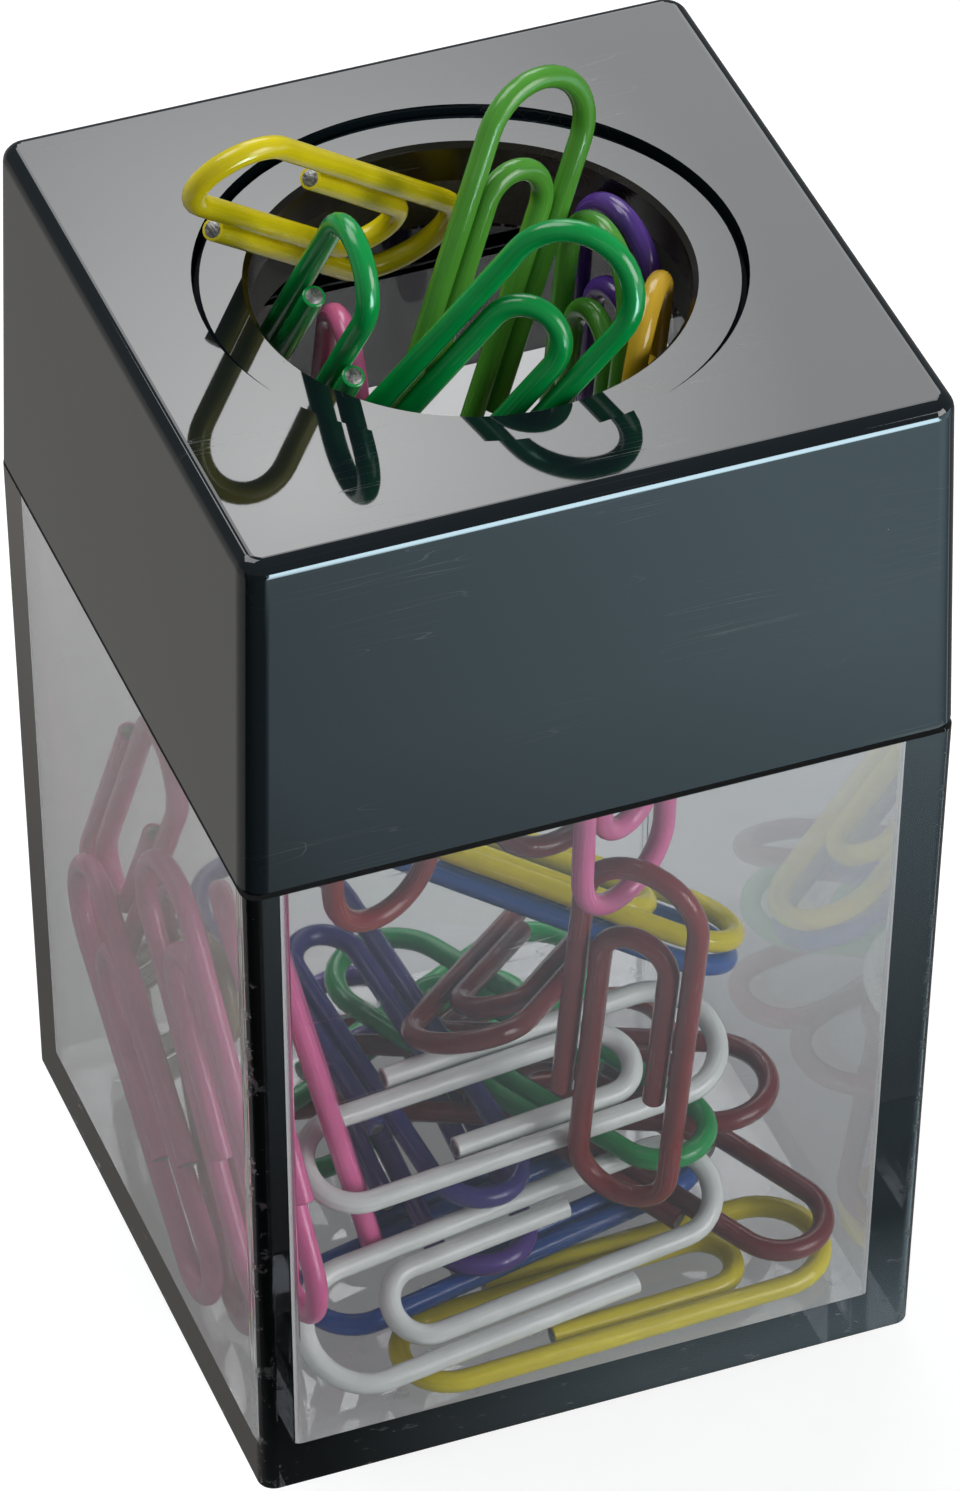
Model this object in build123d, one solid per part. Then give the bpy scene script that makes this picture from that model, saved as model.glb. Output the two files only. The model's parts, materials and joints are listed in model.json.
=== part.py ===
from build123d import *
import os
from math import atan, cos, degrees, radians, sin, tan

# A magnetic paper clip holder: a smoke-clear box, a black cap that lifts off it, a ring magnet
# with a cover ring in the cap's round mouth, and the coated clips that lie in the box, hang from
# the magnet or stand in the mouth. Millimetres, +Z up, origin at the centre of the base.

# The clip that the holder is made for. What goes with the clip's size is given for a 28 mm clip
# and follows its length.
clip_length = 28.0
clip_scale = clip_length / 28

# Sizes of one clip: a double loop of coated wire, drawn with flat-sided wire
clip_width = 8.4 * clip_scale
wire_diameter = 1.3 * clip_scale
wire_gap = 0.15 * clip_scale
inner_loop_setback = 5.5 * clip_scale
inner_leg = 18.5 * clip_scale
outer_leg = 20.5 * clip_scale
wire_sides = 6
bend_steps = 5

# Driving dimensions of the box, from its room for the clips outwards
box_room = 35.7 * clip_scale
box_depth = 44.0 * clip_scale
box_draft = 0.926
box_wall = 2.4
box_floor = 2.4
box_corner_radius = 1.0
box_inner_corner_radius = 0.5
base_edge_chamfer = 0.4
neck_height = 8.0
neck_corner_radius = 1.3
neck_lead_in = 0.25

# Driving dimensions of the mouth, from its bore outwards
mouth_diameter = 24.5 * clip_scale
ring_width = 2.95
cover_thickness = 2.5
cover_depth = 0.5
cover_edge_chamfer = 0.3
magnet_setback = 0.1
magnet_thickness = 3.0
shelf_width = 1.6
shelf_thickness = 1.2

# Driving dimensions of the cap
cap_height = 22.45 * clip_scale
cap_overhang = 0.05
cap_draft = 1.276
cap_wall = 1.25
cap_top_thickness = 1.5
cap_corner_radius = 1.4
cap_inner_corner_radius = 1.0
cap_edge_radius = 0.9
well_wall = 1.2
parting_chamfer = 0.2

# Clearances
cap_seat_clearance = 0.05
neck_clearance = 0.12
ring_clearance = 0.15
ring_seat_clearance = 0.05
hang_clearance = 0.25
layer_clearance = 0.15 * clip_scale

# Heights worked out from the dimensions
shoulder_height = box_floor + box_depth
neck_top = shoulder_height + neck_height
cap_rim = shoulder_height + cap_seat_clearance
cap_top = cap_rim + cap_height
cover_top = cap_top - cover_depth
cover_bottom = cover_top - cover_thickness
magnet_top = cover_bottom - ring_seat_clearance
magnet_bottom = magnet_top - magnet_thickness
shelf_top = magnet_bottom - ring_seat_clearance
shelf_bottom = shelf_top - shelf_thickness

# Widths worked out from the dimensions
ring_diameter = mouth_diameter + 2 * ring_width
magnet_bore = mouth_diameter + 2 * magnet_setback
well_diameter = ring_diameter + 2 * ring_clearance
shelf_bore = well_diameter - 2 * shelf_width


def box_inner_width(height):
    """Width between the box's inner faces at a height above the base."""
    return box_room + 2 * height * tan(radians(box_draft))


def box_outer_width(height):
    """Width over the box's outer faces at a height above the base."""
    return box_inner_width(height) + 2 * box_wall


def cap_outer_width(height):
    """Width over the cap's outer faces, which hang a little over the box at the rim."""
    rim_width = box_outer_width(shoulder_height) + 2 * cap_overhang
    return rim_width - 2 * (height - cap_rim) * tan(radians(cap_draft))


def cap_inner_width(height):
    """Width between the cap's inner faces at a height above the base."""
    return cap_outer_width(height) - 2 * cap_wall


def tapered_block(low_width, low, high_width, high, radius):
    """Square block whose width changes with height, with its four upright edges rounded."""
    wide, narrow = max(low_width, high_width), min(low_width, high_width)
    rise = high - low
    block = extrude(Rectangle(wide, wide), rise, taper=degrees(atan((wide - narrow) / 2 / rise)))
    upright_edges = block.edges().sort_by(Axis.Z)[4:8]
    block = fillet(upright_edges, radius)
    if low_width > high_width:
        return Pos(0, 0, low) * block
    return Pos(0, 0, high) * Rot(180, 0, 0) * block


def tube(outer_diameter, inner_diameter, low, high):
    """Upright ring between two heights."""
    profile = Circle(outer_diameter / 2) - Circle(inner_diameter / 2)
    return extrude(Pos(0, 0, low) * profile, high - low)


def make_clear_box():
    """Tapered box with a thin neck, stepped in at the shoulder, that the cap slides over."""
    body = tapered_block(
        box_outer_width(0), 0, box_outer_width(shoulder_height), shoulder_height, box_corner_radius
    )
    body = chamfer(body.faces().sort_by(Axis.Z)[0].edges(), base_edge_chamfer)
    body = chamfer(body.faces().sort_by(Axis.Z)[-1].edges(), parting_chamfer)
    neck = tapered_block(
        cap_inner_width(shoulder_height) - 2 * neck_clearance, shoulder_height,
        cap_inner_width(neck_top) - 2 * neck_clearance, neck_top, neck_corner_radius,
    )
    neck = chamfer(neck.faces().sort_by(Axis.Z)[-1].edges(), neck_lead_in)
    cavity = tapered_block(
        box_inner_width(box_floor), box_floor,
        box_inner_width(neck_top), neck_top, box_inner_corner_radius,
    )
    return body + neck - cavity


def make_cap():
    """Hollow cap with a round well in its top and a shelf at the well's foot for the magnet."""
    shell = tapered_block(
        cap_outer_width(cap_rim), cap_rim, cap_outer_width(cap_top), cap_top, cap_corner_radius
    )
    shell = fillet(shell.faces().sort_by(Axis.Z)[-1].edges(), cap_edge_radius)
    shell = chamfer(shell.faces().sort_by(Axis.Z)[0].edges(), parting_chamfer)
    ceiling = cap_top - cap_top_thickness
    hollow = tapered_block(
        cap_inner_width(cap_rim), cap_rim,
        cap_inner_width(ceiling), ceiling, cap_inner_corner_radius,
    )
    well = tube(well_diameter + 2 * well_wall, shelf_bore, shelf_bottom, ceiling)
    pocket = extrude(Pos(0, 0, shelf_top) * Circle(well_diameter / 2), cap_top - shelf_top)
    return shell - hollow + well - pocket


def make_magnet_ring():
    """Plain ring magnet that lies on the shelf."""
    return tube(ring_diameter, magnet_bore, magnet_bottom, magnet_top)


def make_cover_ring():
    """Ring that covers the magnet, with its two upper edges broken."""
    ring = tube(ring_diameter, mouth_diameter, cover_bottom, cover_top)
    return chamfer(ring.faces().sort_by(Axis.Z)[-1].edges(), cover_edge_chamfer)


def half_turn(centre_x, centre_z, radius, start_angle):
    """Points of a half circle in the clip's plane, turning anticlockwise from a start angle."""
    angles = [radians(start_angle + 180 * step / bend_steps) for step in range(bend_steps + 1)]
    return [(centre_x + radius * cos(t), 0, centre_z + radius * sin(t)) for t in angles]


def make_clip():
    """One clip about its own middle: +X to the end with two bends, +Z to the outer cut end."""
    wire_radius = wire_diameter / 2
    tip = clip_length / 2
    outer_radius = clip_width / 2 - wire_radius
    inner_radius = outer_radius - wire_diameter - wire_gap
    middle_radius = (outer_radius + inner_radius) / 2
    inner_start = (tip - inner_leg, 0, -inner_radius)
    outer_end = (tip - outer_leg, 0, outer_radius)
    path = Polyline(
        inner_start,
        *half_turn(tip - inner_loop_setback - wire_radius - inner_radius, 0, inner_radius, -90),
        *half_turn(-tip + wire_radius + middle_radius, inner_radius - middle_radius, middle_radius, 90),
        *half_turn(tip - wire_radius - outer_radius, 0, outer_radius, -90),
        outer_end,
    )
    start_plane = Plane(origin=inner_start, x_dir=(0, 1, 0), z_dir=(1, 0, 0))
    section = start_plane * RegularPolygon(wire_radius, wire_sides)
    return sweep(section, path, transition=Transition.RIGHT)


def place(clip, point, heading, climb, roll, anchor=0):
    """Turn a clip and bring one of its points to a place.

    heading and climb aim its +X end, roll turns it about its length (0 stands it on edge).
    anchor is 0 for its middle, 1 for the end with two bends and -1 for the end with one.
    """
    turn = Rot(0, 0, heading) * Rot(0, -climb, 0) * Rot(roll, 0, 0)
    return Pos(*point) * turn * Pos(-anchor * clip_length / 2, 0, 0) * clip


# The lists below place the clips. Their lengths are for a 28 mm clip, and their angles are degrees.

# Clips lying in the box: name, x from the middle, y from the front wall, height in layers of wire,
# heading, climb, roll
heap = [
    ("yellow_low", 3.4, 4.75, 0.52, 2, 0, -90),
    ("white_lower", -2.6, 4.95, 3.24, 187, -2, 237),
    ("blue_low", -1.0, 11.55, 1.52, 12, 0, -90),
    ("purple", -3.4, 19.85, 2.55, 88, 0, -90),
    ("brown", 8.1, 13.8, 2.8, 121, 6, -90),
    ("dark_red", 4.2, 17.45, 4.69, -24, 0, -90),
    ("green", 2.8, 18.35, 5.79, 117, 0, -90),
    ("indigo", -5.6, 19.79, 7.86, 99, 12, -83),
    ("white_upper", -0.4, 11.25, 8.31, 6, 0, -70),
    ("red_front", 3.9, 3.99, 14.9, -77, 83, 31),
    ("blue_back", 5.0, 24.45, 11.07, -35, -14, -115),
    ("yellow_back", 5.4, 24.45, 12.24, -35, -14, -115),
    ("red_rear", 2.0, 27.45, 0.52, 168, 0, -90),
    ("teal_rear", 0.0, 27.05, 1.55, 25, 0, -90),
    ("red_far", 4.9, 21.89, 8.41, -132, 17, -73),
]

# Clips leaning on the left wall: name, x from the left wall, then as above
wall_heap = [
    ("pink_corner", 5.99, 12.29, 11.38, 172, 77, 89),
    ("pink_corner_low", 1.03, 9.09, 13.52, 94, 53, 0),
    ("pink_left", 2.29, 26.69, 16.62, 90, -62, 0),
    ("pink_left_low", 0.89, 21.09, 6.9, 90, 33, 0),
    ("magenta_left", 2.39, 13.39, 9.24, 90, 63, 0),
    ("olive_left", 3.85, 24.85, 8.14, 90, -48, 0),
]

# Clips hanging in the box from the shelf under the magnet: name, x and y of the upper end,
# heading, climb, roll, which end is up
hanging = [
    ("pink_hang", 3.7, -14.7, 90, -87, 62, -1),
    ("red_hang", -11.1, -10.7, 20, -86, 0, -1),
]

# Clips in the mouth: name, x, y and height above the cover ring of the upper end,
# heading, climb, roll, which end is up
mouth = [
    ("leaf_tall", 6.5, 3.7, 10.1, 29, 63, 169, 1),
    ("leaf_second", 8.0, 0.2, 1.6, 23, 83, 73, 1),
    ("emerald_lean", 4.5, -10.2, 8.5, -17, 53, 159, 1),
    ("emerald_small", -8.9, -7.8, 8.8, 97, -58, -174, -1),
    ("yellow_rim", -15.7, -0.6, 11.4, 35, -40, -143, -1),
    ("pink_bore", -7.0, 0.6, -2.1, -90, 78, -6, 1),
    ("purple_bore", 10.1, 3.1, 0.2, 0, 88, -78, 1),
    ("ochre_bore", 8.4, -6.2, 1.6, -27, 85, -97, 1),
    ("dark_red_hang", 1.4, -10.7, -4.5, 171, -88, 164, -1),
]


def make_clips():
    """Every clip in its place, by node name."""
    clip = make_clip()
    wall_face = box_inner_width(box_floor) / 2
    layer = wire_diameter + layer_clearance
    clips = {}
    for name, x, from_front, layers, heading, climb, roll in heap:
        point = (x * clip_scale, from_front * clip_scale - wall_face, box_floor + layers * layer)
        clips["clip_" + name] = place(clip, point, heading, climb, roll)
    for name, from_wall, from_front, layers, heading, climb, roll in wall_heap:
        x, y = from_wall * clip_scale - wall_face, from_front * clip_scale - wall_face
        point = (x, y, box_floor + layers * layer)
        clips["clip_" + name] = place(clip, point, heading, climb, roll)
    for name, x, y, heading, climb, roll, end_up in hanging:
        point = (x * clip_scale, y * clip_scale, shelf_bottom - hang_clearance)
        clips["clip_" + name] = place(clip, point, heading, climb, roll, end_up)
    for name, x, y, above_cover, heading, climb, roll, end_up in mouth:
        point = (x * clip_scale, y * clip_scale, cover_top + above_cover * clip_scale)
        clips["clip_" + name] = place(clip, point, heading, climb, roll, end_up)
    return clips


nodes = {
    "clear_box": make_clear_box(),
    "cap": make_cap(),
    "magnet_ring": make_magnet_ring(),
    "cover_ring": make_cover_ring(),
}
nodes.update(make_clips())

os.makedirs("parts", exist_ok=True)
for node_name, shape in nodes.items():
    export_step(shape, f"parts/{node_name}.step")
    print(node_name, "volume", round(shape.volume, 1))
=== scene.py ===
# %% [markdown]
# # A magnetic paper clip holder
# The holder is a smoke-clear box with a glossy black cap. A ring magnet sits in the cap's round
# mouth, and coated wire clips lie in the box, hang from the magnet and stand in the mouth.
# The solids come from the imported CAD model, which fixes every size and place. Here they get their
# finishes, and the clips are modelled again with round wire, because the CAD clips have flat sides.

# %% Load the frame
import json
from math import cos, pi, radians, sin

import bpy
import numpy as np
from mathutils import Matrix, Vector

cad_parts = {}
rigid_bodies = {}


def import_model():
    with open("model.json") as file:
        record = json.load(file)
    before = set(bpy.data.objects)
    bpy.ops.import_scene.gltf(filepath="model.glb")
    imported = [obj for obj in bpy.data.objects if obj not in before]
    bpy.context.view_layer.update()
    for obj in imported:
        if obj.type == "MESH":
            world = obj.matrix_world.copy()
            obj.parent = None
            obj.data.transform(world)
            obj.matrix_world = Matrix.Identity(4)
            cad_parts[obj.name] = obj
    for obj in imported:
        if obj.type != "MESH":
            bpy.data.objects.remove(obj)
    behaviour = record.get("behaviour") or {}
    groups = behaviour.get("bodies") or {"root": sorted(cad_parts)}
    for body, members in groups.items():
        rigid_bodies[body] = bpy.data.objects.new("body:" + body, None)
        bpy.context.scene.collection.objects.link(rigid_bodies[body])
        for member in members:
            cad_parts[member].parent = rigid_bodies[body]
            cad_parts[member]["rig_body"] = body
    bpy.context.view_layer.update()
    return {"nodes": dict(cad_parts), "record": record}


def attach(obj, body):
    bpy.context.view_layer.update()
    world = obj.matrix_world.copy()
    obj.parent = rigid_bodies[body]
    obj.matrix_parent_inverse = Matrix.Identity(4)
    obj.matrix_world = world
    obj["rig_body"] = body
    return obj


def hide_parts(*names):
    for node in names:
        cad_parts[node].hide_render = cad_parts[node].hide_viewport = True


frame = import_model()
MM = 0.001
scene = bpy.context.scene
scene.view_settings.view_transform = "Standard"

# %% [markdown]
# ## The camera
# The photograph looks down on the holder from its front left corner through a long lens. The angles,
# the distance and the lens were fitted to the edges of the box and the cap. A camera can be turned
# by hand until it matches, but its matrix can also be written down from the two angles: the third
# column points back from the subject to the camera, and the first two are its right and its up.

# %% Set up the camera
CAMERA_AZIMUTH = radians(21.10)
CAMERA_ELEVATION = radians(40.15)
CAMERA_ROLL = radians(0.285)
CAMERA_DISTANCE = 508.6 * MM
CAMERA_AIM = Vector((0.70, 0, 34.45)) * MM
FOCAL_PIXELS, PHOTO_HEIGHT = 8859, 1491

camera_data = bpy.data.cameras.new("camera")
camera_data.sensor_width = 36
camera_data.lens = FOCAL_PIXELS * camera_data.sensor_width / PHOTO_HEIGHT
camera = bpy.data.objects.new("camera", camera_data)
scene.collection.objects.link(camera)
back = Vector((
    -sin(CAMERA_AZIMUTH) * cos(CAMERA_ELEVATION),
    -cos(CAMERA_AZIMUTH) * cos(CAMERA_ELEVATION),
    sin(CAMERA_ELEVATION),
))
level_right = Vector((0, 0, 1)).cross(back).normalized()
level_up = back.cross(level_right)
right = level_right * cos(CAMERA_ROLL) + level_up * sin(CAMERA_ROLL)
up = level_up * cos(CAMERA_ROLL) - level_right * sin(CAMERA_ROLL)
turn = Matrix((right, up, back)).transposed().to_4x4()
camera.matrix_world = Matrix.Translation(CAMERA_AIM + back * CAMERA_DISTANCE) @ turn
scene.camera = camera
print("Lens:", round(camera_data.lens, 1), "mm")

# %% [markdown]
# ## Helpers for node trees
# Every finish is a Principled shader fed by a few texture nodes. Small helpers keep the cells short.
# The first ones start a material, add a node with its values, and do sums with the outputs of nodes.


# %% Helpers for nodes
def start_material(name):
    """A new material, its node tree and its Principled shader."""
    material = bpy.data.materials.new(name)
    material.use_nodes = True
    tree = material.node_tree
    return material, tree, tree.nodes["Principled BSDF"]


def feed(tree, socket, value):
    """Link another node's output to an input, or give the input a fixed value."""
    if isinstance(value, bpy.types.NodeSocket):
        tree.links.new(value, socket)
    else:
        socket.default_value = value


def add_node(tree, kind, **values):
    """A node of a kind. Each value goes to the input of that name, or else to the node's own setting."""
    node = tree.nodes.new(kind)
    for name, value in values.items():
        socket = next((s for s in node.inputs if s.name.replace(" ", "_").lower() == name), None)
        if socket:
            feed(tree, socket, value)
        else:
            setattr(node, name, value)
    return node


def calculate(tree, operation, *terms):
    """The output of a Math node whose terms are numbers or outputs of other nodes."""
    node = add_node(tree, "ShaderNodeMath", operation=operation)
    for socket, term in zip(node.inputs, terms):
        feed(tree, socket, term)
    return node.outputs[0]


def ramp(tree, value, low, high, to_low=0.0, to_high=1.0):
    """The value's range from low to high spread over a new range, and held at its ends."""
    node = add_node(tree, "ShaderNodeMapRange", value=value)
    for name, limit in (("From Min", low), ("From Max", high), ("To Min", to_low), ("To Max", to_high)):
        node.inputs[name].default_value = limit
    return node.outputs["Result"]


def blend_colours(tree, amount, first, second):
    """A colour that goes from the first to the second as the amount goes from 0 to 1."""
    node = tree.nodes.new("ShaderNodeMix")
    node.data_type = "RGBA"
    colour_inputs = node.inputs[6], node.inputs[7]
    for socket, value in zip((node.inputs[0], *colour_inputs), (amount, first, second)):
        feed(tree, socket, value)
    return node.outputs[2]


print("Node helpers ready")

# %% [markdown]
# The others read places and patterns, and connect the end of a tree. Places are read in millimetres, so
# that every pattern is written at its real size.


# %% Helpers for finishes
def millimetres(tree):
    """The object's own coordinates in millimetres."""
    place = add_node(tree, "ShaderNodeTexCoord").outputs["Object"]
    return add_node(tree, "ShaderNodeVectorMath", operation="SCALE", vector=place, scale=1 / MM).outputs[0]


def noise_at(tree, place, **settings):
    """The value of a noise texture at a place."""
    return add_node(tree, "ShaderNodeTexNoise", vector=place, **settings).outputs["Fac"]


def length_after(tree, operation, vector, second):
    """The length of a vector after a Vector Math operation with a fixed second vector."""
    node = add_node(tree, "ShaderNodeVectorMath", operation=operation, vector=vector)
    node.inputs[1].default_value = second
    return add_node(tree, "ShaderNodeVectorMath", operation="LENGTH", vector=node.outputs[0]).outputs["Value"]


def raise_relief(tree, shader, height, strength, depth):
    """Feed a height to the shader's Normal through a Bump node."""
    bump = add_node(tree, "ShaderNodeBump", height=height, strength=strength, distance=depth)
    feed(tree, shader.inputs["Normal"], bump.outputs["Normal"])


def swap_shader(tree, where, usual, other):
    """Show the other shader in place of the usual one where a value is 1."""
    mix = add_node(tree, "ShaderNodeMixShader")
    for socket, value in zip(mix.inputs, (where, usual, other)):
        feed(tree, socket, value)
    feed(tree, tree.nodes["Material Output"].inputs["Surface"], mix.outputs["Shader"])


def finish_node(node_name, material):
    """Give a CAD node one material all over."""
    mesh = frame["nodes"][node_name].data
    mesh.materials.clear()
    mesh.materials.append(material)


print("Finish helpers ready")

# %% [markdown]
# ## The stage and the light
# Black gloss and clear plastic show little of their own: they are drawn by what they mirror and by
# what stands behind them. The floor is white paper. It is lit like the rest, so it keeps the holder's
# shadow, and a little light of its own lifts it for the camera, less so through the box.

# %% Lay the floor
FLOOR_SIZE = 4.0
FLOOR_DROP = 0.02 * MM
FLOOR_GREY, FIBRE_CONTRAST = 0.45, 0.01
FLOOR_ROUGHNESS = 0.9
FLOOR_LIFT, LIFT_THROUGH_BOX = 0.72, 0.26

bpy.ops.object.select_all(action="DESELECT")
bpy.ops.mesh.primitive_plane_add(size=FLOOR_SIZE, location=(0, 0, -FLOOR_DROP))
floor = bpy.context.object
floor.name = "floor"
bpy.ops.object.transform_apply(location=True, rotation=True, scale=True)
paper, tree, shader = start_material("floor_paper")
place = millimetres(tree)
fibres = noise_at(tree, place, scale=0.9, detail=4.0)
tone = ramp(tree, fibres, 0.3, 0.7, FLOOR_GREY - FIBRE_CONTRAST, FLOOR_GREY + FIBRE_CONTRAST)
grey = add_node(tree, "ShaderNodeCombineColor", red=tone, green=tone, blue=tone)
feed(tree, shader.inputs["Base Color"], grey.outputs["Color"])
shader.inputs["Roughness"].default_value = FLOOR_ROUGHNESS
rays = add_node(tree, "ShaderNodeLightPath").outputs
shader.inputs["Emission Color"].default_value = (1, 1, 1, 1)
through_box = calculate(tree, "MULTIPLY", rays["Is Transmission Ray"], LIFT_THROUGH_BOX)
lift = calculate(tree, "MULTIPLY_ADD", rays["Is Camera Ray"], FLOOR_LIFT, through_box)
feed(tree, shader.inputs["Emission Strength"], lift)
floor.data.materials.append(paper)
print("Floor:", FLOOR_SIZE, "m square")

# %% [markdown]
# What the holder mirrors is painted onto the floor as a glow that only mirrors see, in place of a studio
# card.
# A cool painted reflection lies in front, where the front faces mirror it. It is dimmed near the holder and
# beside its left corner as painted shade. A lane of it is bright far away, and the cap's rounded edge mirrors
# that as a painted highlight line. The paper at the left is dimmed as painted shade, so that the left faces
# stay dark. Each part is a ramp over the floor's X or Y: two places in millimetres, and the brightness at
# each of them. Only mirrors see all this. Rays through the box count as glossy too, so they are left out.

# %% Paint a reflection, with painted shade and a painted highlight lane, that only mirrors see
# Colours of the painted reflection that the floor shows to mirrors alone
PAINTED_REFLECTION_LEFT, PAINTED_REFLECTION_RIGHT = (0.35, 0.40, 0.42, 1), (1.10, 1.50, 1.70, 1)
# Painted shade that the left faces mirror
REFLECTED_PAINTED_SHADE = (0.37, 0.36, 0.34, 1)
PAINTED_REFLECTION_BEGINS_Y, PAINTED_REFLECTION_COLOUR_X = (-19, -21), (-22, 45)
NEAR_RISE_Y, BY_FOOT_Y = (-40, -88, 0.3, 1.1), (-29, -22, 0.0, 0.7)
# Painted shade in the reflection beside the holder's left corner
CORNER_SHADE_X = (-16, 4, 0.22, 1.0)
# The far lane is a painted highlight, which the cap's rounded edge mirrors as a line
FAR_RISE_Y = (-107, -165, 0.0, 11.0)
LANE_SLOPE, LANE_EDGE = 0.29, (62, 48)
# The paper at the left dims as painted shade
PAINTED_SHADE_FADE_X = (-38, -24, 1.0, 0.55)

axes = add_node(tree, "ShaderNodeSeparateXYZ", vector=place).outputs
in_front = ramp(tree, axes["Y"], *PAINTED_REFLECTION_BEGINS_Y)
painted_reflection_colour = blend_colours(tree, ramp(tree, axes["X"], *PAINTED_REFLECTION_COLOUR_X), PAINTED_REFLECTION_LEFT, PAINTED_REFLECTION_RIGHT)
painted_reflection = blend_colours(tree, in_front, REFLECTED_PAINTED_SHADE, painted_reflection_colour)
across_lane = calculate(tree, "MULTIPLY_ADD", axes["Y"], LANE_SLOPE, axes["X"])
in_lane = ramp(tree, calculate(tree, "ABSOLUTE", across_lane), *LANE_EDGE)
# Painted highlight lane far in front of the holder
far_painted_highlight = calculate(tree, "MULTIPLY", ramp(tree, axes["Y"], *FAR_RISE_Y), in_lane)
# Painted reflection made brighter by the holder's foot
by_foot = ramp(tree, axes["Y"], *BY_FOOT_Y)
near_painted_reflection = calculate(tree, "ADD", ramp(tree, axes["Y"], *NEAR_RISE_Y), by_foot)
# Painted shade near the holder's left corner
shade = ramp(tree, axes["X"], *CORNER_SHADE_X)
painted_reflection_level = calculate(tree, "MULTIPLY_ADD", near_painted_reflection, shade, far_painted_highlight)
# Painted shade: the paper at the left is dimmed in reflections
painted_shade_level = ramp(tree, axes["X"], *PAINTED_SHADE_FADE_X)
rise = calculate(tree, "SUBTRACT", painted_reflection_level, painted_shade_level)
level = calculate(tree, "MULTIPLY_ADD", in_front, rise, painted_shade_level)
# The floor glows for mirrors only: a painted reflection, not lit paper
painted_reflection_glow = add_node(tree, "ShaderNodeEmission", color=painted_reflection, strength=level)
only_mirrored = calculate(tree, "GREATER_THAN", rays["Is Glossy Ray"], rays["Is Transmission Ray"])
swap_shader(tree, only_mirrored, shader.outputs["BSDF"], painted_reflection_glow.outputs["Emission"])
# The dim paper is painted shade in the reflection
print("Mirrors see the card and the dim paper")

# %% [markdown]
# The cap's top mirrors the place straight across from the camera, so a soft light stands there, and the
# black top turns grey. A real soft box is brightest at one spot, and so is this one: the light's own
# node tree dims it with the distance from that spot. A second soft light hangs above and draws the
# highlights along the wires, and a third stands in front and lights the clips in the box.


# %% Hang the lights
def soft_light(name, direction, distance, side, watts):
    """A square area light that faces the middle of the holder from a direction."""
    data = bpy.data.lights.new(name, "AREA")
    data.shape = "RECTANGLE"
    data.size = data.size_y = side
    data.energy = watts
    light = bpy.data.objects.new(name, data)
    scene.collection.objects.link(light)
    aim = Vector(direction).normalized()
    light.location = CAMERA_AIM + aim * distance
    light.rotation_euler = aim.to_track_quat("Z", "Y").to_euler()
    return light


mirror_direction = (-back.x, -back.y, back.z)
back_light = soft_light("back_softbox", mirror_direction, distance=0.65, side=0.34, watts=2.0)
soft_light("top_softbox", (-0.30, 0.40, 0.87), distance=0.8, side=0.5, watts=3.5)
soft_light("front_softbox", (0.62, -0.72, 0.32), distance=0.9, side=0.5, watts=5.4)

# %% Shade the back light and set the room
BRIGHT_SPOT = (0.567, 0.556, 0)
SPOT_FADE = (0.0, 0.19, 1.3, 0.6)
ROOM_COLOUR, ROOM_STRENGTH = (0.90, 0.96, 1.0, 1), 0.22

back_light.data.use_nodes = True
tree = back_light.data.node_tree
across = add_node(tree, "ShaderNodeNewGeometry").outputs["Parametric"]
from_spot = length_after(tree, "SUBTRACT", across, BRIGHT_SPOT)
feed(tree, tree.nodes["Emission"].inputs["Strength"], ramp(tree, from_spot, *SPOT_FADE))

world = bpy.data.worlds.new("studio")
world.use_nodes = True
room = world.node_tree.nodes["Background"].inputs
room["Color"].default_value, room["Strength"].default_value = ROOM_COLOUR, ROOM_STRENGTH
scene.world = world
print("Bright spot of the back light:", BRIGHT_SPOT[:2])

# %% [markdown]
# ## Wear that the finishes share
# Handled plastic has hairline scratches, specks of dust and a slightly wavy skin from the mould.
# Each of these is a node group, so that it is built once and every material gives it its own strength.


# %% Start a node group
def start_group(name, outputs):
    """A shader node group that takes a Place in millimetres, with its input and output nodes."""
    group = bpy.data.node_groups.new(name, "ShaderNodeTree")
    group.interface.new_socket("Place", in_out="INPUT", socket_type="NodeSocketVector")
    for output in outputs:
        group.interface.new_socket(output, in_out="OUTPUT", socket_type="NodeSocketFloat")
    return group, group.nodes.new("NodeGroupInput").outputs["Place"], group.nodes.new("NodeGroupOutput")


def use_group(tree, group, place):
    """Put a group in a material and give it its coordinates. Its outputs are returned."""
    node = tree.nodes.new("ShaderNodeGroup")
    node.node_tree = group
    feed(tree, node.inputs["Place"], place)
    return node.outputs


print("Group helpers ready")

# %% [markdown]
# A hairline is a thin band of a noise that is stretched along one direction. Four directions are laid
# over each other, and a slower noise breaks the lines, so that they begin and end.

# %% Hairline scratches
SCRATCH_LAYS = ((24, 0.018), (-63, 0.026), (97, 0.014), (-18, 0.03))  # degrees, scale along the line
SCRATCH_SPACING = 0.55
LINE_FADE = (0.0007, 0.0020, 1.0, 0.0)

scratches, place, result = start_group("hairline_scratches", ["Scratches"])
lines = None
for angle, stretch in SCRATCH_LAYS:
    lay = add_node(scratches, "ShaderNodeMapping", vector=place)
    lay.inputs["Rotation"].default_value = (radians(angle * 0.7), radians(angle * 0.4), radians(angle))
    lay.inputs["Scale"].default_value = (stretch, SCRATCH_SPACING, SCRATCH_SPACING)
    drift = noise_at(scratches, lay.outputs[0], scale=1.0, detail=1.0)
    off_line = calculate(scratches, "ABSOLUTE", calculate(scratches, "SUBTRACT", drift, 0.5))
    line = ramp(scratches, off_line, *LINE_FADE)
    lines = line if lines is None else calculate(scratches, "MAXIMUM", lines, line)
broken = ramp(scratches, noise_at(scratches, place, scale=0.11, detail=2.0), 0.50, 0.66)
feed(scratches, result.inputs["Scratches"], calculate(scratches, "MULTIPLY", lines, broken))
print("Made", scratches.name)

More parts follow.
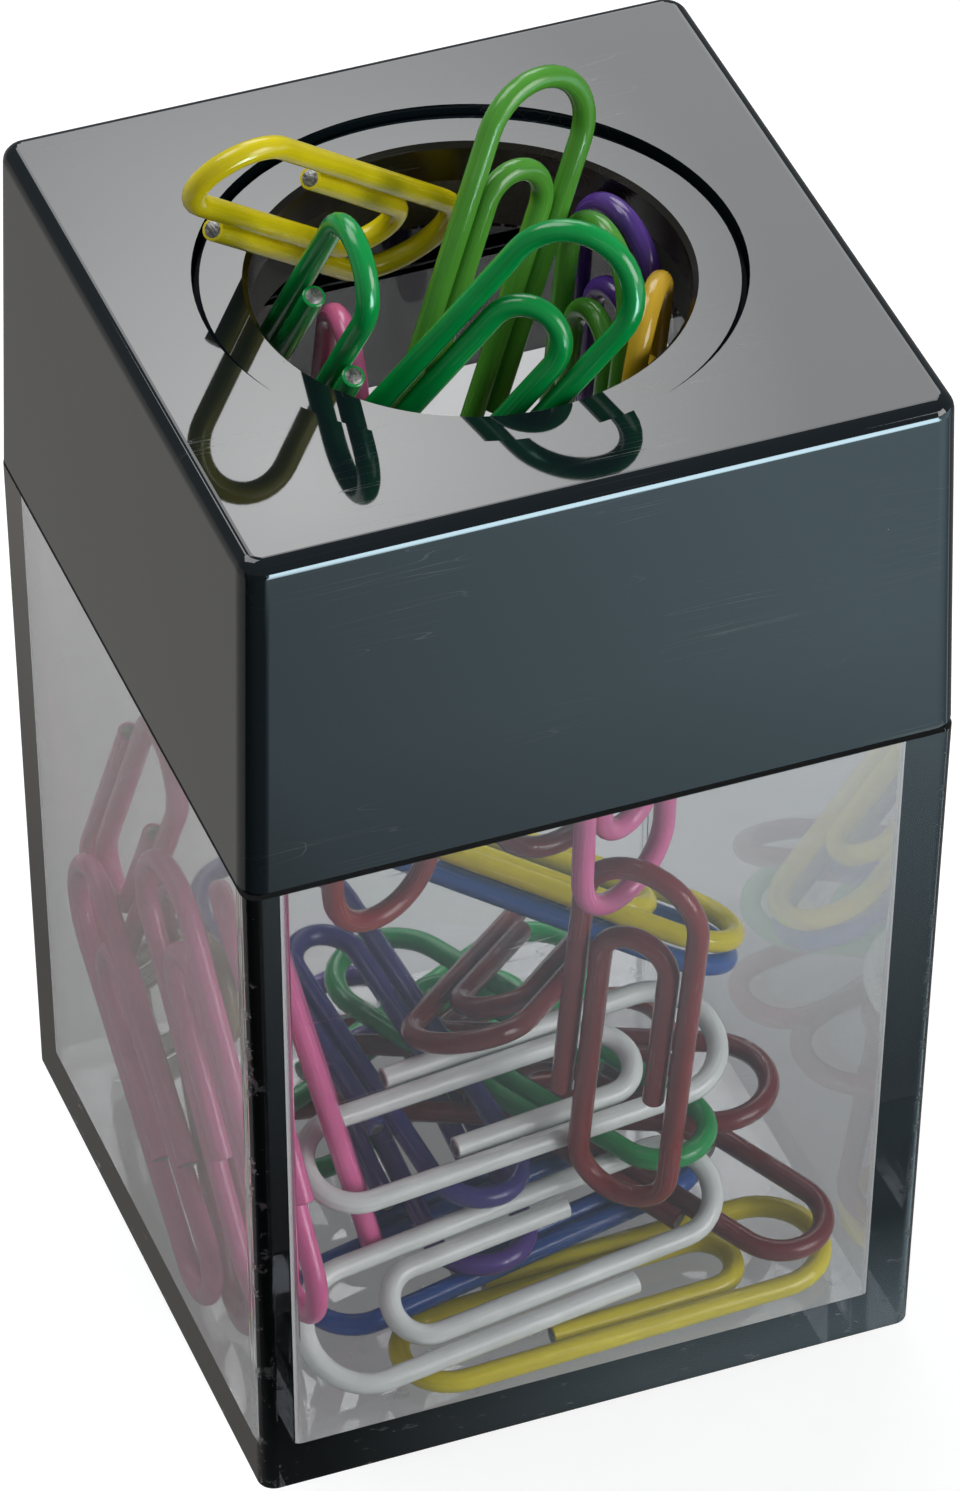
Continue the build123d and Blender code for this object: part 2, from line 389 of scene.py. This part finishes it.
# %% [markdown]
# Dust is a scatter of small dots. A Voronoi texture gives every cell a centre and a colour of its own:
# the distance to the centre makes the dot, and the colour leaves most of the cells empty.

# %% Dust specks
DOT_SIZES = (0.02, 0.075)
EMPTY_CELLS = 0.82

dust, place, result = start_group("dust_specks", ["Specks"])
cells = add_node(dust, "ShaderNodeTexVoronoi", vector=place, scale=0.42)
chance = add_node(dust, "ShaderNodeSeparateColor", color=cells.outputs["Color"]).outputs
size = ramp(dust, chance["Green"], 0.0, 1.0, *DOT_SIZES)
dot = calculate(dust, "LESS_THAN", cells.outputs["Distance"], size)
chosen = calculate(dust, "GREATER_THAN", chance["Red"], EMPTY_CELLS)
feed(dust, result.inputs["Specks"], calculate(dust, "MULTIPLY", dot, chosen))
print("Made", dust.name)

# %% [markdown]
# Fingers leave patches that are a little duller than the rest, and the mould leaves a slow wave.

# %% Smudges and mould waves
handling, place, result = start_group("smudges_and_waves", ["Smudges", "Waves"])
patches = noise_at(handling, place, scale=0.09, detail=5.0, roughness=0.62)
feed(handling, result.inputs["Smudges"], ramp(handling, patches, 0.45, 0.75))
feed(handling, result.inputs["Waves"], noise_at(handling, place, scale=0.06, detail=1.0))
print("Made", handling.name)

# %% [markdown]
# ## The smoke-clear box
# The box is polystyrene with a smoke tint. The tint is inside the plastic, so it is a volume that takes
# away light along the way: a wall seen flat stays light, and a wall seen along its length turns black.
# Lamps could not light the clips through real glass without much noise, so for shadow rays alone the
# shader is a plain see-through one. Polystyrene is brittle: its upright edges and its foot are scuffed
# and chipped, so there a coarse noise makes the surface rough and uneven.

# %% The smoke-clear plastic
POLYSTYRENE_IOR = 1.59
EDGE_SUM, EDGE_SLOPE, EDGE_WIDTH = 39.45, 0.0323, 0.35  # |x| + |y| by an upright edge, taper, width
FOOT_ZONE = (0.9, 0.3)
EDGE_CHIPS, FOOT_CHIPS = (0.56, 0.61), (0.61, 0.66)
WALL_ROUGHNESS, CHIP_ROUGHNESS, MARK_ROUGHNESS = 0.012, 0.45, 0.12

smoke, tree, shader = start_material("smoke_clear_plastic")
shader.inputs["Base Color"].default_value = (1, 1, 1, 1)
shader.inputs["Transmission Weight"].default_value = 1
shader.inputs["IOR"].default_value = POLYSTYRENE_IOR
place = millimetres(tree)
axes = add_node(tree, "ShaderNodeSeparateXYZ", vector=place).outputs
from_middle = [calculate(tree, "ABSOLUTE", axes[axis]) for axis in "XY"]
sum_across = calculate(tree, "ADD", *from_middle)
upright = calculate(tree, "MULTIPLY_ADD", axes["Z"], -EDGE_SLOPE, sum_across)
by_edge = ramp(tree, upright, EDGE_SUM, EDGE_SUM + EDGE_WIDTH)
by_foot = ramp(tree, axes["Z"], *FOOT_ZONE)
breaks = noise_at(tree, place, scale=0.45, detail=6.0, roughness=0.7)
edge_chips = calculate(tree, "MULTIPLY", ramp(tree, breaks, *EDGE_CHIPS), by_edge)
foot_chips = calculate(tree, "MULTIPLY", ramp(tree, breaks, *FOOT_CHIPS), by_foot)
chips = calculate(tree, "MAXIMUM", edge_chips, foot_chips)
marks = use_group(tree, scratches, place)["Scratches"]
specks = use_group(tree, dust, place)["Specks"]
touch = use_group(tree, handling, place)
rough = calculate(tree, "MULTIPLY_ADD", touch["Smudges"], 0.02, WALL_ROUGHNESS)
rough = calculate(tree, "MULTIPLY_ADD", chips, CHIP_ROUGHNESS, rough)
rough = calculate(tree, "MULTIPLY_ADD", calculate(tree, "MAXIMUM", marks, specks), MARK_ROUGHNESS, rough)
feed(tree, shader.inputs["Roughness"], rough)
relief = calculate(tree, "MULTIPLY_ADD", chips, -0.6, calculate(tree, "MULTIPLY", touch["Waves"], 0.25))
raise_relief(tree, shader, relief, strength=0.25, depth=0.1 * MM)
print("Made", smoke.name)

# %% Tint the plastic and let the lamps through
SMOKE_COLOUR, SMOKE_DENSITY = (0.29, 0.30, 0.32, 1), 142
SHADOW_TINT = (0.95, 0.95, 0.96, 1)

smoke_volume = add_node(tree, "ShaderNodeVolumeAbsorption", color=SMOKE_COLOUR, density=SMOKE_DENSITY)
feed(tree, tree.nodes["Material Output"].inputs["Volume"], smoke_volume.outputs["Volume"])
see_through = add_node(tree, "ShaderNodeBsdfTransparent", color=SHADOW_TINT)
for_lamps = add_node(tree, "ShaderNodeLightPath").outputs["Is Shadow Ray"]
swap_shader(tree, for_lamps, shader.outputs["BSDF"], see_through.outputs["BSDF"])
finish_node("clear_box", smoke)
print("Box wears", smoke.name)

# %% [markdown]
# ## The black cap and its ring
# The cap and the cover ring are the same black polystyrene, moulded in polished steel. It is almost a
# mirror, so what shows is dust, hairlines and smudges: they are duller and a little paler than the black.
# In the bore, where clips rub, it is browner and duller.

# %% The black gloss plastic
BLACK, BORE_BROWN = (0.005, 0.009, 0.012, 1), (0.007, 0.005, 0.001, 1)
DUST_GREY = (0.24, 0.24, 0.22, 1)
BORE_EDGE = (12.60, 12.50)
GLOSS_ROUGHNESS, BORE_ROUGHNESS = 0.025, 0.22

black, tree, shader = start_material("black_gloss_plastic")
place = millimetres(tree)
marks = use_group(tree, scratches, place)["Scratches"]
specks = use_group(tree, dust, place)["Specks"]
touch = use_group(tree, handling, place)
pale = calculate(tree, "MULTIPLY_ADD", marks, 0.2, calculate(tree, "MULTIPLY", specks, 0.8))
in_bore = ramp(tree, length_after(tree, "MULTIPLY", place, (1, 1, 0)), *BORE_EDGE)
ground = blend_colours(tree, in_bore, BLACK, BORE_BROWN)
feed(tree, shader.inputs["Base Color"], blend_colours(tree, pale, ground, DUST_GREY))
rough = calculate(tree, "MULTIPLY_ADD", touch["Smudges"], 0.03, GLOSS_ROUGHNESS)
for mask, amount in ((marks, 0.16), (in_bore, BORE_ROUGHNESS), (specks, 0.45)):
    rough = calculate(tree, "MULTIPLY_ADD", mask, amount, rough)
feed(tree, shader.inputs["Roughness"], rough)
raise_relief(tree, shader, touch["Waves"], strength=0.2, depth=0.1 * MM)
finish_node("cap", black)
finish_node("cover_ring", black)
print("Made", black.name)

# %% [markdown]
# ## The magnet
# A ring magnet of this kind is pressed and fired ferrite: dull, dark grey and a little grainy.

# %% The ferrite
FERRITE_DARK, FERRITE_LIGHT = (0.018, 0.017, 0.016, 1), (0.060, 0.056, 0.050, 1)

ferrite, tree, shader = start_material("ferrite_magnet")
place = millimetres(tree)
grain = noise_at(tree, place, scale=3.5, detail=5.0, roughness=0.7)
specks = use_group(tree, dust, place)["Specks"]
tone = calculate(tree, "MULTIPLY_ADD", specks, 0.4, ramp(tree, grain, 0.3, 0.75))
feed(tree, shader.inputs["Base Color"], blend_colours(tree, tone, FERRITE_DARK, FERRITE_LIGHT))
feed(tree, shader.inputs["Roughness"], ramp(tree, grain, 0.3, 0.7, 0.42, 0.62))
raise_relief(tree, shader, grain, strength=0.4, depth=0.05 * MM)
finish_node("magnet_ring", ferrite)
print("Made", ferrite.name)

# %% [markdown]
# ## One clip
# A clip is one steel wire with a vinyl coat, bent three times. It can be a curve with a round bevel,
# but a mesh gives clean cut ends with the bare steel in them. So a ring of points starts at the inner
# cut end, is extruded along each straight leg and spun round each bend, as the wire is in the machine.
# The clip lies in the XZ plane about its own middle, with its end of two bends towards +X.

# %% Sizes of the clip
CLIP_LENGTH, CLIP_WIDTH = 28.0 * MM, 8.4 * MM
WIRE_RADIUS = 0.65 * MM
WIRE_GAP = 0.15 * MM
LOOP_SETBACK = 5.5 * MM
INNER_LEG, OUTER_LEG = 18.5 * MM, 20.5 * MM
COAT_THICKNESS, COAT_LIP, COAT_DRAW = 0.16 * MM, 0.07 * MM, 0.05 * MM
BURR_INSET, BURR_HEIGHT = 0.05 * MM, 0.04 * MM
WIRE_SIDES, BEND_STEPS = 16, 18
SMOOTH_ANGLE = radians(50)

tip = CLIP_LENGTH / 2
outer_bend = CLIP_WIDTH / 2 - WIRE_RADIUS
inner_bend = outer_bend - 2 * WIRE_RADIUS - WIRE_GAP
middle_bend = (outer_bend + inner_bend) / 2
bend_centres = [
    Vector((tip - LOOP_SETBACK - WIRE_RADIUS - inner_bend, 0, 0)),
    Vector((-tip + WIRE_RADIUS + middle_bend, 0, inner_bend - middle_bend)),
    Vector((tip - WIRE_RADIUS - outer_bend, 0, 0)),
]
leg_ends = [centre.x for centre in bend_centres] + [tip - OUTER_LEG]
print("Bend radii in mm:", [round(r / MM, 2) for r in (inner_bend, middle_bend, outer_bend)])

# %% Draw the wire along the clip
bpy.ops.object.select_all(action="DESELECT")
bpy.ops.mesh.primitive_circle_add(
    vertices=WIRE_SIDES, radius=WIRE_RADIUS, fill_type="NOTHING",
    location=(tip - INNER_LEG, 0, -inner_bend), rotation=(0, pi / 2, 0),
)
clip_model = bpy.context.object
clip_model.name = "clip_model"
bpy.ops.object.transform_apply(location=True, rotation=True, scale=True)
bpy.ops.object.mode_set(mode="EDIT")
bpy.ops.mesh.select_all(action="SELECT")
wire_end = tip - INNER_LEG
for leg, leg_end in enumerate(leg_ends):
    bpy.ops.mesh.extrude_region_move(TRANSFORM_OT_translate={"value": (leg_end - wire_end, 0, 0)})
    wire_end = leg_end
    if leg < len(bend_centres):
        bpy.ops.mesh.spin(steps=BEND_STEPS, angle=pi, center=bend_centres[leg], axis=(0, 1, 0))
bpy.ops.mesh.select_all(action="SELECT")
bpy.ops.mesh.remove_doubles(threshold=0.001 * MM)
bpy.ops.object.mode_set(mode="OBJECT")
print("Wire points:", len(clip_model.data.vertices))

# %% [markdown]
# The coat is drawn on through a die, which leaves faint streaks along the wire. To paint them, every
# point needs to know its place on the wire: how far along it lies, and on which side. The points come
# in rings, one after the other, so this is read off their order and kept in an attribute of the mesh.
# The side is kept as a sine and a cosine, so that there is no seam where the angle starts again.

# %% Note each point's place on the wire
rings = np.array([v.co for v in clip_model.data.vertices]).reshape(-1, WIRE_SIDES, 3)
middles = rings.mean(axis=1)
run = np.concatenate([[0], np.linalg.norm(np.diff(middles, axis=0), axis=1).cumsum()]) / MM
side = np.arange(WIRE_SIDES) * 2 * pi / WIRE_SIDES
wire_place = np.empty(rings.shape)
wire_place[:, :, 0], wire_place[:, :, 1], wire_place[:, :, 2] = np.cos(side), np.sin(side), run[:, None]
attribute = clip_model.data.attributes.new("wire_place", "FLOAT_VECTOR", "POINT")
attribute.data.foreach_set("vector", wire_place.ravel())
print("Length of the wire in mm:", round(run[-1], 1))

# %% [markdown]
# The cut ends are filled and inset three times: the first two rings are the coat's edge, rounded a little
# by the cutter, and inside them lies the bare steel, whose middle is raised as a small burr.

# %% Cut the ends
bpy.ops.object.mode_set(mode="EDIT")
bpy.ops.mesh.select_mode(type="EDGE")
bpy.ops.mesh.select_all(action="DESELECT")
bpy.ops.mesh.select_non_manifold()
bpy.ops.mesh.fill_holes(sides=0)
bpy.ops.mesh.select_all(action="SELECT")
bpy.ops.mesh.normals_make_consistent(inside=False)
bpy.ops.mesh.select_mode(type="FACE")
bpy.ops.mesh.select_all(action="DESELECT")
bpy.ops.object.mode_set(mode="OBJECT")
clip_model.data.materials.append(None)
clip_model.data.materials.append(None)
for face in clip_model.data.polygons:
    face.select = len(face.vertices) == WIRE_SIDES
bpy.ops.object.mode_set(mode="EDIT")
bpy.ops.mesh.inset(thickness=COAT_LIP, depth=COAT_DRAW, use_individual=True)
bpy.ops.mesh.inset(thickness=COAT_THICKNESS - COAT_LIP, use_individual=True)
clip_model.active_material_index = 1
bpy.ops.object.material_slot_assign()
bpy.ops.mesh.inset(thickness=BURR_INSET, depth=BURR_HEIGHT, use_individual=True)
bpy.ops.object.mode_set(mode="OBJECT")
bpy.ops.object.shade_smooth_by_angle(angle=SMOOTH_ANGLE)
print("Clip faces:", len(clip_model.data.polygons))

# %% [markdown]
# ## Every clip in its place
# Each CAD clip says where a clip lies. Its thinnest direction is across the clip, and the normals of
# its long faces leave only one direction free, which is along the legs. The end with two bends has more
# points, which tells the two ways along apart, and the single bend's points tell the two ways across.


# %% Read where a clip lies
def clip_pose(node_name):
    """The matrix that carries the clip model onto a CAD clip."""
    mesh = frame["nodes"][node_name].data
    corners = np.array([v.co for v in mesh.vertices])
    points = np.unique(corners.round(7), axis=0)
    triangles = np.array([corners[list(face.vertices)] for face in mesh.polygons])
    sides = triangles - np.roll(triangles, 1, axis=1)
    long_faces = np.linalg.norm(sides, axis=2).max(axis=1) > CLIP_LENGTH / 4
    normals = np.cross(sides[long_faces, 0], sides[long_faces, 1])
    along = np.linalg.eigh(normals.T @ normals)[1][:, 0]
    across = np.linalg.eigh(np.cov(points.T))[1][:, 0]
    across = np.cross(np.cross(along, across), along)
    across /= np.linalg.norm(across)
    axes = np.array([along, across, np.cross(along, across)])
    in_axes = points @ axes.T
    lean = in_axes.mean(axis=0) - (in_axes.min(axis=0) + in_axes.max(axis=0)) / 2
    if lean[0] < 0:
        axes[[0, 2]] *= -1
    if (lean[2] > 0) != (lean[0] < 0):
        axes[[1, 2]] *= -1
    in_axes = points @ axes.T
    middle = (in_axes.min(axis=0) + in_axes.max(axis=0)) / 2 @ axes
    pose = Matrix(axes.T.tolist()).to_4x4()
    pose.translation = Vector(middle)
    return pose


print("First clip lies at:", [round(v / MM, 1) for v in clip_pose("clip_yellow_low").translation])

# %% [markdown]
# ## Coats and cut steel
# The coats are bright vinyl. The colour is a little uneven, streaks from the die run along the wire, and
# rubbing has left paler scuffs and dull patches. One function makes a coat of any colour.

# %% Coats for the wire
COAT_COLOURS = {
    "yellow": (0.72, 0.60, 0.006), "ochre": (0.55, 0.34, 0.02), "white": (0.78, 0.82, 0.79),
    "blue": (0.02, 0.085, 0.34), "indigo": (0.04, 0.035, 0.19), "purple": (0.085, 0.035, 0.24),
    "red": (0.25, 0.020, 0.020), "dark_red": (0.17, 0.017, 0.020), "pink": (0.74, 0.15, 0.36),
    "magenta": (0.34, 0.045, 0.14), "green": (0.0, 0.31, 0.06), "leaf": (0.085, 0.33, 0.035),
    "olive": (0.16, 0.14, 0.03),
}
STREAK_SCALE = (2.4, 2.4, 0.10)
COAT_ROUGHNESS, SCUFF_ROUGHNESS, SCUFF_COVER = (0.15, 0.25), 0.22, 0.35


def coat_material(name, colour):
    """Vinyl coat of one colour, with streaks along the wire, scuffs and a fine skin."""
    material, tree, shader = start_material("coat_" + name)
    place = millimetres(tree)
    wire = add_node(tree, "ShaderNodeAttribute", attribute_name="wire_place").outputs["Vector"]
    drawn = add_node(tree, "ShaderNodeMapping", vector=wire)
    drawn.inputs["Scale"].default_value = STREAK_SCALE
    streaks = noise_at(tree, drawn.outputs[0], scale=1.6, detail=3.0)
    patches = noise_at(tree, place, scale=0.22, detail=3.0)
    skin = noise_at(tree, place, scale=5.0, detail=3.0)
    scuffs = calculate(tree, "MULTIPLY", ramp(tree, streaks, 0.60, 0.72), ramp(tree, patches, 0.48, 0.62))
    deep = tuple(0.80 * c for c in colour) + (1,)
    bright = tuple(min(1.08 * c + 0.004, 1) for c in colour) + (1,)
    rubbed = tuple(0.75 * c + 0.16 for c in colour) + (1,)
    tone = calculate(tree, "MULTIPLY_ADD", patches, 0.7, calculate(tree, "MULTIPLY", streaks, 0.5))
    paint = blend_colours(tree, ramp(tree, tone, 0.35, 0.85), deep, bright)
    worn = calculate(tree, "MULTIPLY", scuffs, SCUFF_COVER)
    feed(tree, shader.inputs["Base Color"], blend_colours(tree, worn, paint, rubbed))
    sheen = ramp(tree, streaks, 0.35, 0.65, *COAT_ROUGHNESS)
    feed(tree, shader.inputs["Roughness"], calculate(tree, "MULTIPLY_ADD", scuffs, SCUFF_ROUGHNESS, sheen))
    relief = calculate(tree, "MULTIPLY_ADD", streaks, 0.7, calculate(tree, "MULTIPLY", skin, 0.3))
    raise_relief(tree, shader, relief, strength=0.22, depth=0.06 * MM)
    return material


coats = {name: coat_material(name, colour) for name, colour in COAT_COLOURS.items()}
print("Coats:", len(coats))

# %% The bare steel of the cut ends
STEEL_DULL, STEEL_BARE = (0.16, 0.155, 0.15, 1), (0.40, 0.40, 0.39, 1)
SHEAR_SCALE = (9.0, 2.0, 9.0)

steel, tree, shader = start_material("cut_steel")
place = millimetres(tree)
torn = add_node(tree, "ShaderNodeMapping", vector=place)
torn.inputs["Scale"].default_value = SHEAR_SCALE
shear = noise_at(tree, torn.outputs[0], scale=1.0, detail=4.0)
tone = blend_colours(tree, ramp(tree, shear, 0.35, 0.65), STEEL_DULL, STEEL_BARE)
feed(tree, shader.inputs["Base Color"], tone)
shader.inputs["Metallic"].default_value = 1
feed(tree, shader.inputs["Roughness"], ramp(tree, shear, 0.3, 0.7, 0.34, 0.55))
raise_relief(tree, shader, shear, strength=0.5, depth=0.08 * MM)
print("Made", steel.name)

# %% [markdown]
# A copy of the clip with its own mesh goes to each place. The copy rides the CAD clip's body, stands for
# the CAD clip in the model, and gets the coat that the record's material slot names.


# %% Put a clip on every CAD clip
def place_clip(node_name, coat):
    """A copy of the clip model in the place of a CAD clip, which it then stands for."""
    piece = clip_model.copy()
    piece.data = clip_model.data.copy()
    piece.name = piece.data.name = node_name.replace("clip_", "wire_")
    scene.collection.objects.link(piece)
    piece.data.transform(clip_pose(node_name))
    piece.data.materials[0] = coat
    piece.data.materials[1] = steel
    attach(piece, frame["nodes"][node_name]["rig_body"])
    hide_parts(node_name)
    return piece


clips = {}
for part in frame["record"]["subparts"]:
    if part["node"].startswith("clip_"):
        colour_name = part["material_slot"].replace("clip_", "")
        piece = place_clip(part["node"], coats[colour_name])
        clips[part["node"]] = piece
bpy.data.objects.remove(clip_model)
print(len(clips), "clips placed")
